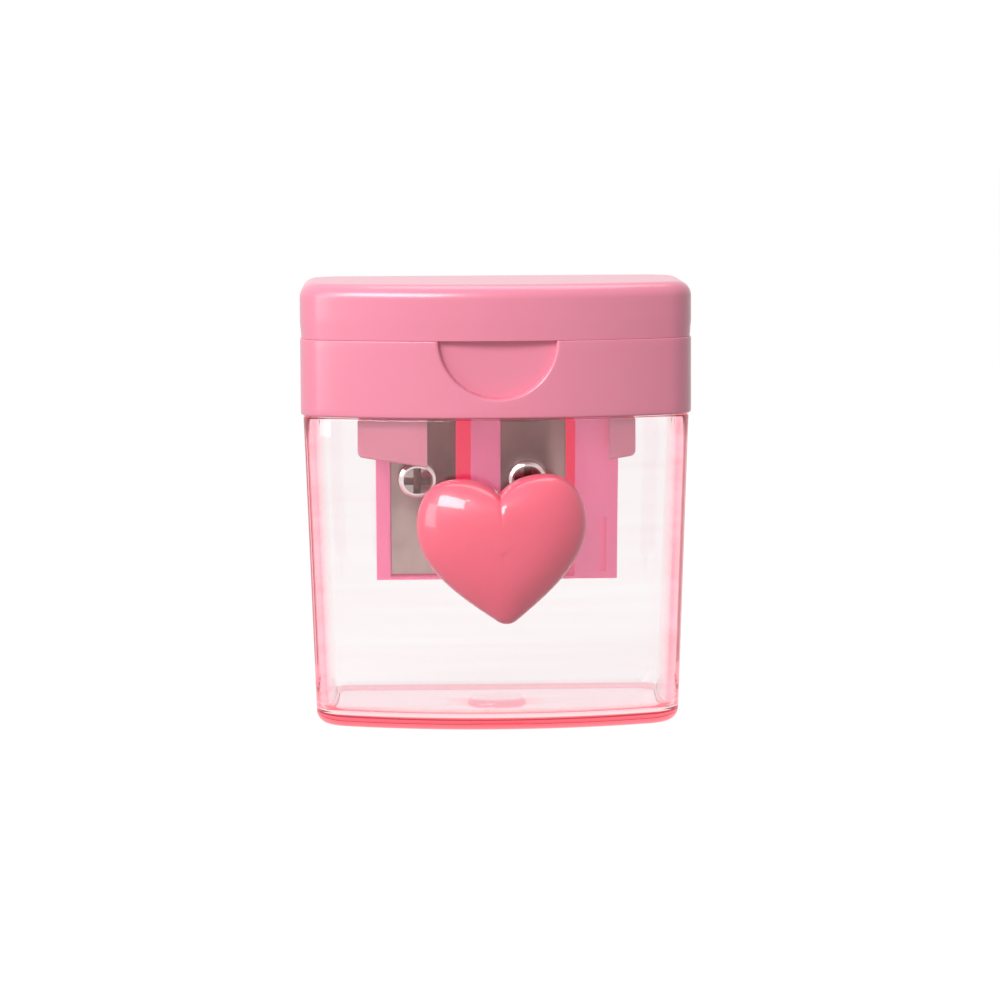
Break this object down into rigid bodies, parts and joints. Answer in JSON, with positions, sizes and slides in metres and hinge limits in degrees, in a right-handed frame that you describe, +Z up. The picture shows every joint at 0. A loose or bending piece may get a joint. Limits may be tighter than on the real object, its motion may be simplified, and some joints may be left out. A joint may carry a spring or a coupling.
{
  "type": "pencil sharpener",
  "caption": "Pencil sharpener with a standard and a jumbo hole, a clear shavings container with a bowed front, a plug-in head and a flip lid, and a puffy heart ornament.",
  "frame": {"origin": "on the surface the container stands on, under the middle of the container's width and of the collar's depth", "axes": "+Z up through the lid, -Y to the bowed front with the heart, +X to the jumbo hole's side"},
  "size_m": [0.048, 0.0335, 0.0545],
  "materials": {
    "clear_tinted_plastic": "clear injection-moulded polystyrene with a faint pink tint, polished",
    "pink_plastic": "opaque pink injection-moulded plastic, softly glossy",
    "coral_gloss_plastic": "high-gloss coral plastic",
    "white_foam": "thin double-sided foam adhesive",
    "blade_steel": "ground blade steel",
    "screw_chrome": "bright plated steel"
  },
  "bodies": {
    "container": {"container": "clear_tinted_plastic", "heart_ornament": "coral_gloss_plastic", "heart_adhesive_pad": "white_foam"},
    "head": {"collar": "pink_plastic", "sharpening_block": "pink_plastic", "blade_standard": "blade_steel", "blade_jumbo": "blade_steel", "blade_screw_standard": "screw_chrome", "blade_screw_jumbo": "screw_chrome"},
    "lid": {"lid": "pink_plastic"}
  },
  "joints": [
    {"name": "head_lift", "type": "slide", "parent": "container", "child": "head", "axis": [0, 0, 1], "range_m": [0, 0.024]},
    {"name": "lid_hinge", "type": "hinge", "parent": "head", "child": "lid", "pos_m": [0, 0.0121, 0.04985], "axis": [-1, 0, 0], "range_deg": [0, 100]}
  ]
}
